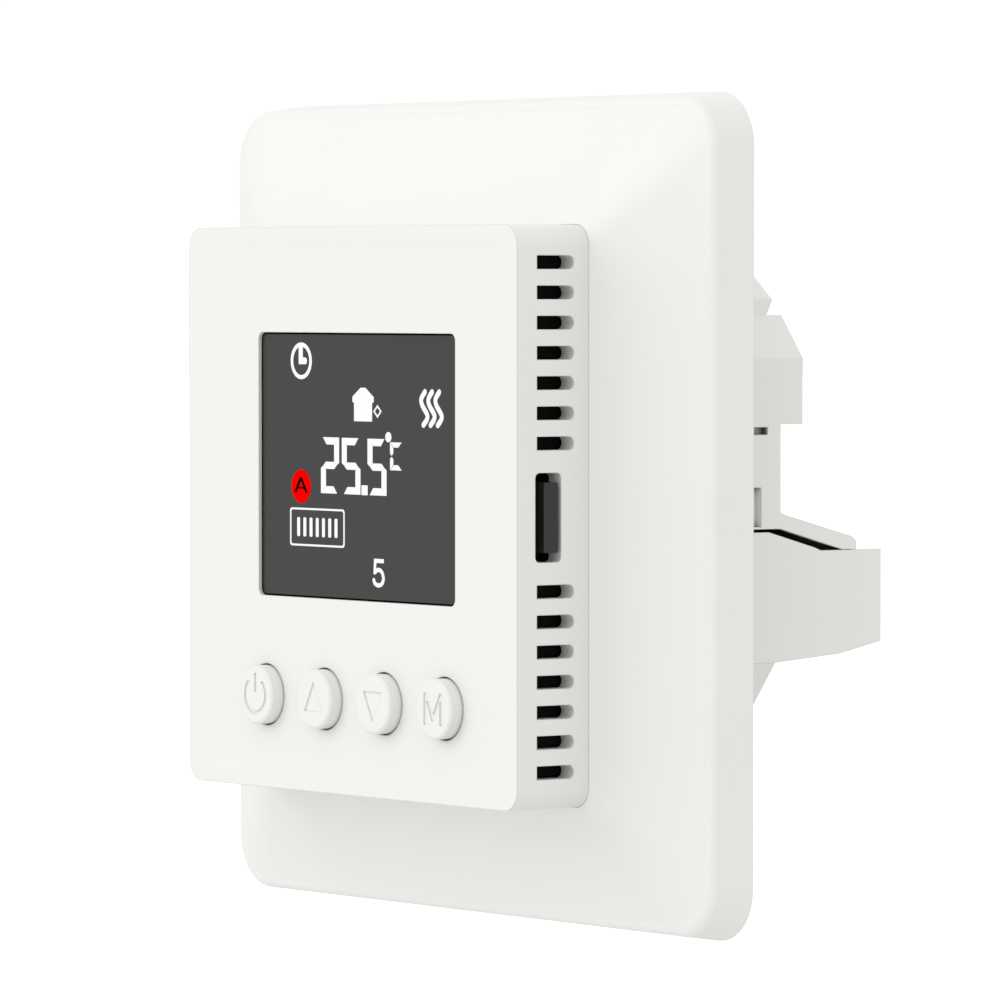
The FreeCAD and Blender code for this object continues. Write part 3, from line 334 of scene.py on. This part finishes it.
def stroke(path, width, steps=8):
    """The outline of a stroke with round ends along a path."""
    half = width / 2
    line = [Vector(p) for p in path]
    normals = []
    for i, point in enumerate(line):
        along = (line[min(i + 1, len(line) - 1)] - line[max(i - 1, 0)]).normalized()
        normals.append(Vector((-along.y, along.x)))
    loop = [p + n * half for p, n in zip(line, normals)]
    for end, normal, side in ((line[-1], normals[-1], 1), (line[0], normals[0], -1)):
        start = math.atan2(normal.y * side, normal.x * side)
        for step in range(1, steps):
            angle = start - math.pi * step / steps
            loop.append(end + Vector((math.cos(angle), math.sin(angle))) * half)
        if side == 1:
            loop += [p - n * half for p, n in zip(reversed(line), reversed(normals))]
    return [tuple(p) for p in loop]


# how far the free end of a top or bottom bar stands back, and the share of that at its inner corner
FREE = 0.34
FREE_INNER = 0.3
# bars of each figure, and how far its top and bottom bars stand back: left, right
DIGITS = {
    "2": (("top", "upper_right", "middle", "lower_left", "bottom"), (FREE, 0), (0, FREE)),
    "5": (("top", "upper_left", "middle", "lower_right", "bottom"), (0, FREE), (FREE, 0)),
    "C": (("top", "upper_left", "lower_left", "bottom"), (0, 0), (0, 0)),
}
# how far the outer corner of an upright bar stays from the middle, as a share of the bar's height
UPRIGHT_END = 0.35


def level_bar(wide, bar_wide, outer, inner, free):
    """A top or bottom bar with mitred ends, either of which can stand back."""
    left, right = free
    return [(left, outer), (wide - right, outer), (wide - bar_wide - right * FREE_INNER, inner),
            (bar_wide + left * FREE_INNER, inner)]


def segments(figure, x, z, wide, tall, bar_wide, bar_tall, gap):
    """The bars of a seven-segment digit with its lower left corner at (x, z)."""
    shown, free_top, free_bottom = DIGITS[figure]
    mid = tall / 2
    upper_left = [(0, tall), (bar_wide, tall - bar_tall), (bar_wide, mid + bar_tall / 2),
                  (bar_wide / 2, mid), (0, mid + bar_tall * UPRIGHT_END)]
    middle_right = [(wide - bar_wide, mid + bar_tall / 2), (wide - bar_wide / 2, mid),
                    (wide - bar_wide, mid - bar_tall / 2)]
    bars = {
        "top": level_bar(wide, bar_wide, tall, tall - bar_tall, free_top),
        "upper_left": upper_left,
        "upper_right": [(wide - u, v) for u, v in upper_left],
        "lower_left": [(u, tall - v) for u, v in upper_left],
        "lower_right": [(wide - u, tall - v) for u, v in upper_left],
        "middle": [(bar_wide / 2, mid), (bar_wide, mid + bar_tall / 2)] + middle_right
                  + [(bar_wide, mid - bar_tall / 2)],
        "bottom": level_bar(wide, bar_wide, 0, bar_tall, free_bottom),
    }
    placed = {}
    for name in shown:
        loop = bars[name]
        cx = sum(u for u, v in loop) / len(loop)
        cz = sum(v for u, v in loop) / len(loop)
        pulled = []
        for u, v in loop:
            keep = 1 - gap / math.hypot(u - cx, v - cz)
            pulled.append((x + cx + (u - cx) * keep, z + cz + (v - cz) * keep))
        placed[name] = pulled
    return placed


def digit(name, figure, x, z, wide, tall, bar_wide, bar_tall, gap=0.025):
    for bar, loop in segments(figure, x, z, wide, tall, bar_wide, bar_tall, gap).items():
        sign("%s_%s" % (name, bar), [loop], LIT)


def clock_sign(x, z):
    outer, inner = 1.79, 1.39
    sign("clock_ring", [circle(x, z, outer), circle(x, z, inner)], LIT)
    left, right, top, foot = x - 0.42, x + 0.25, z + 1.45, z - 0.33
    arm_top, arm_end, corner = z + 0.33, x + 0.95, 0.2
    sign("clock_hands", [[
        (left, top), (left, foot), (arm_end - corner, foot), (arm_end, foot + corner),
        (arm_end, arm_top - corner), (arm_end - corner, arm_top), (right, arm_top), (right, top),
    ]], LIT)


def house_sign(x, z):
    """A house with a small rhomb beside it."""
    half, eave = 1.49, 1.76
    right = [(0.4, 3.24), (eave, 2.36), (eave, 1.88), (half, 1.76), (half, 0)]
    left = [(-u, v) for u, v in reversed(right)]
    sign("house", [[(x + u, z + v) for u, v in right + left]], LIT)
    rhomb_x, rhomb_z = x + 2.4, z + 0.99
    wide, tall = 0.68, 0.63
    hole_wide, hole_tall = 0.66, 0.62
    rhomb = [(wide, 0), (0, tall), (-wide, 0), (0, -tall)]
    outer = [(rhomb_x + u, rhomb_z + v) for u, v in rhomb]
    inner = [(rhomb_x + u * hole_wide, rhomb_z + v * hole_tall) for u, v in rhomb]
    sign("rhomb", [outer, inner], LIT)


def heat_sign(x, z):
    """Three rising waves."""
    waves, pitch, width = 3, 1.16, 0.56
    wave = [(0.50, 3.35), (0.02, 2.85), (-0.12, 2.50), (0.12, 2.00), (0.72, 1.37), (0.92, 1.02),
            (0.78, 0.68), (0.26, 0.20)]
    for i in range(waves):
        shift = x + pitch * i
        line = smooth_path([(shift + u, z + v) for u, v in wave])
        sign("heat_wave_%d" % i, [stroke(line, width)], LIT)


def auto_sign(x, z):
    """A black letter A on a red disc."""
    radius = 1.63
    sign("auto_disc", [circle(x, z, radius)], RED)
    foot, top = z - 0.64, z + 0.86
    half_foot, half_top, leg = 1.2, 0.2, 0.39
    apex = [(x + half_top, top), (x - half_top, top)]
    half_bar, bar_low, bar_high = 0.7, z - 0.24, z - 0.05
    over = SIGN_THICK
    sign("auto_leg_left", [[(x - half_foot, foot), (x - half_foot + leg, foot)] + apex], INK_AND_SHADE, over)
    sign("auto_leg_right", [[(x + half_foot - leg, foot), (x + half_foot, foot)] + apex], INK_AND_SHADE,
         over + LAYER)
    sign("auto_bar", [rectangle(x - half_bar, bar_low, x + half_bar, bar_high)], INK_AND_SHADE, over + 2 * LAYER)


def week_sign(x0, z0, x1, z1):
    """An outlined box with one mark for each day."""
    line, outer_round, inner_round = 0.19, 0.35, 0.25
    outer = round_rectangle(x0, z0, x1, z1, outer_round)
    inner = round_rectangle(x0 + line, z0 + line, x1 - line, z1 - line, inner_round)
    sign("week_box", [outer, inner], LIT)
    days, margin, half, reach, mark_round = 7, 1.45, 0.23, 0.93, 0.15
    middle, pitch = (z0 + z1) / 2, (x1 - x0 - 2 * margin) / (days - 1)
    for day in range(days):
        x = x0 + margin + pitch * day
        mark = round_rectangle(x - half, middle - reach, x + half, middle + reach, mark_round)
        sign("week_day_%d" % (day + 1), [mark], LIT)


def day_number(x, z):
    """A plain figure five: a bowl, a stem and a top bar."""
    width = 0.40
    bowl = smooth_path([(0.42, 1.36), (0.95, 1.62), (1.55, 1.45), (1.85, 0.85), (1.60, 0.30),
                        (1.0, 0.13), (0.45, 0.30), (0.25, 0.62)])
    stem = [(0.22, 1.20), (0.60, 1.50), (0.70, 2.45), (0.32, 2.45)]
    sign("day_five_bowl", [stroke([(x + u, z + v) for u, v in bowl], width)], LIT)
    sign("day_five_stem", [[(x + u, z + v) for u, v in stem]], LIT, LAYER)
    sign("day_five_top", [rectangle(x + 0.32, z + 2.28, x + 1.93, z + 2.68)], LIT, 2 * LAYER)


def pane_edge_shadow():
    """Painted shadow: a thin black line around the edge of the pane, where the gap at the window's
    edge lies in shade.
    """
    x0, x1 = -15.45, 17.35
    z0, z1 = -8.59, 17.15
    line, corner = 0.13, 0.7
    outer = round_rectangle(x0, z0, x1, z1, corner)
    inner = round_rectangle(x0 + line, z0 + line, x1 - line, z1 - line, corner - line)
    sign("pane_edge_shadow", [outer, inner], INK_AND_SHADE)


def make_display_signs():
    # painted shadow along the pane's edge
    pane_edge_shadow()
    clock_sign(-8.65, 14.43)
    house_sign(1.80, 8.68)
    heat_sign(11.52, 8.29)
    tall, bar_wide, bar_tall = 5.46, 0.83, 0.72
    digit("tens", "2", -5.29, 1.60, 3.06, tall, bar_wide, bar_tall)
    digit("units", "5", -1.76, 1.59, 3.11, tall, bar_wide, bar_tall)
    digit("tenths", "5", 2.55, 1.58, 3.15, tall, bar_wide, bar_tall)
    digit("celsius", "C", 6.28, 4.05, wide=1.95, tall=2.71, bar_wide=0.57, bar_tall=0.54, gap=0.05)
    sign("decimal_point", [rectangle(1.55, 1.57, 2.55, 2.52)], LIT)
    sign("degree", [circle(6.01, 7.23, 0.49)], LIT)
    auto_sign(-8.67, 2.19)
    week_sign(-10.57, -3.62, -1.31, 0.10)
    day_number(3.33, -7.18)


make_display_signs()


# ---------------------------------------------------------------- stage, light and camera

FLOOR_HEIGHT = -0.45
FLOOR_SIZE = 60
FLOOR_GLOW = 0.5

STUDIO_BASE = 1.0
STUDIO_SLOPE = (0.0, -0.11, 0.07)
# brightness of the studio where the camera sees it directly
BACKDROP = 1.05

KEY_PLACE = (-0.55, -1.15, 0.70)
KEY_SIZE = (0.9, 0.9)
KEY_POWER = 3.2


def make_floor():
    """A white floor that the camera sees, and that neither lights the part nor mirrors in it."""
    bpy.ops.mesh.primitive_plane_add(size=FLOOR_SIZE, location=(0, 0, FLOOR_HEIGHT))
    floor = bpy.context.object
    floor.name = "floor"
    floor.visible_diffuse = False
    floor.visible_glossy = False
    mat, shader = new_material("floor_white", (0.9, 0.9, 0.9), 0.9)
    shader.inputs["Emission Color"].default_value = (*WHITE, 1.0)
    shader.inputs["Emission Strength"].default_value = FLOOR_GLOW
    floor.data.materials.append(mat)


def area_light(name, place, target, size, power):
    """A rectangular lamp that faces its target."""
    light = bpy.data.lights.new(name, "AREA")
    light.shape = "RECTANGLE"
    light.size, light.size_y = size
    light.energy = power
    lamp = bpy.data.objects.new(name, light)
    bpy.context.scene.collection.objects.link(lamp)
    lamp.location = place
    lamp.rotation_mode = "QUATERNION"
    lamp.rotation_quaternion = (Vector(target) - Vector(place)).to_track_quat("-Z", "Y")


def studio_strength(tree):
    """Brightness of the studio in each direction: a base value and a gentle slope."""
    slope = tree.nodes.new("ShaderNodeVectorMath")
    slope.operation = "DOT_PRODUCT"
    slope.inputs[1].default_value = STUDIO_SLOPE
    tree.links.new(tree.nodes.new("ShaderNodeTexCoord").outputs["Generated"], slope.inputs[0])
    total = tree.nodes.new("ShaderNodeMath")
    total.operation = "ADD"
    total.inputs[1].default_value = STUDIO_BASE
    tree.links.new(slope.outputs["Value"], total.inputs[0])
    return total.outputs["Value"]


def make_light():
    """A sloped studio lights the part, an even backdrop fills the picture, and one key lamp helps."""
    world = bpy.data.worlds.new("studio")
    bpy.context.scene.world = world
    world.use_nodes = True
    tree = world.node_tree
    back = tree.nodes["Background"]
    back.inputs["Color"].default_value = (*WHITE, 1.0)
    tree.links.new(studio_strength(tree), back.inputs["Strength"])
    bright = tree.nodes.new("ShaderNodeBackground")
    bright.inputs["Color"].default_value = (*WHITE, 1.0)
    bright.inputs["Strength"].default_value = BACKDROP
    path = tree.nodes.new("ShaderNodeLightPath")
    mix = tree.nodes.new("ShaderNodeMixShader")
    tree.links.new(path.outputs["Is Camera Ray"], mix.inputs["Fac"])
    tree.links.new(back.outputs["Background"], mix.inputs[1])
    tree.links.new(bright.outputs["Background"], mix.inputs[2])
    tree.links.new(mix.outputs["Shader"], tree.nodes["World Output"].inputs["Surface"])
    area_light("key", KEY_PLACE, (0, 0, 0), KEY_SIZE, KEY_POWER)


def make_camera():
    """The camera stands well to the right of the device and a little above its middle."""
    turn, rise, distance = math.radians(53.69), math.radians(1.72), 0.6875
    aim = Vector((-0.00006, 0, 0.00074))
    back = Vector((math.sin(turn) * math.cos(rise), -math.cos(turn) * math.cos(rise), math.sin(rise)))
    data = bpy.data.cameras.new("camera")
    data.sensor_width = 36
    data.lens = 252.28
    data.clip_start, data.clip_end = 0.01, 100
    camera = bpy.data.objects.new("camera", data)
    bpy.context.scene.collection.objects.link(camera)
    camera.location = aim + back * distance
    camera.rotation_mode = "QUATERNION"
    camera.rotation_quaternion = (-back).to_track_quat("-Z", "Y")
    bpy.context.scene.camera = camera


make_floor()
make_light()
make_camera()
bpy.context.scene.view_settings.view_transform = "Standard"
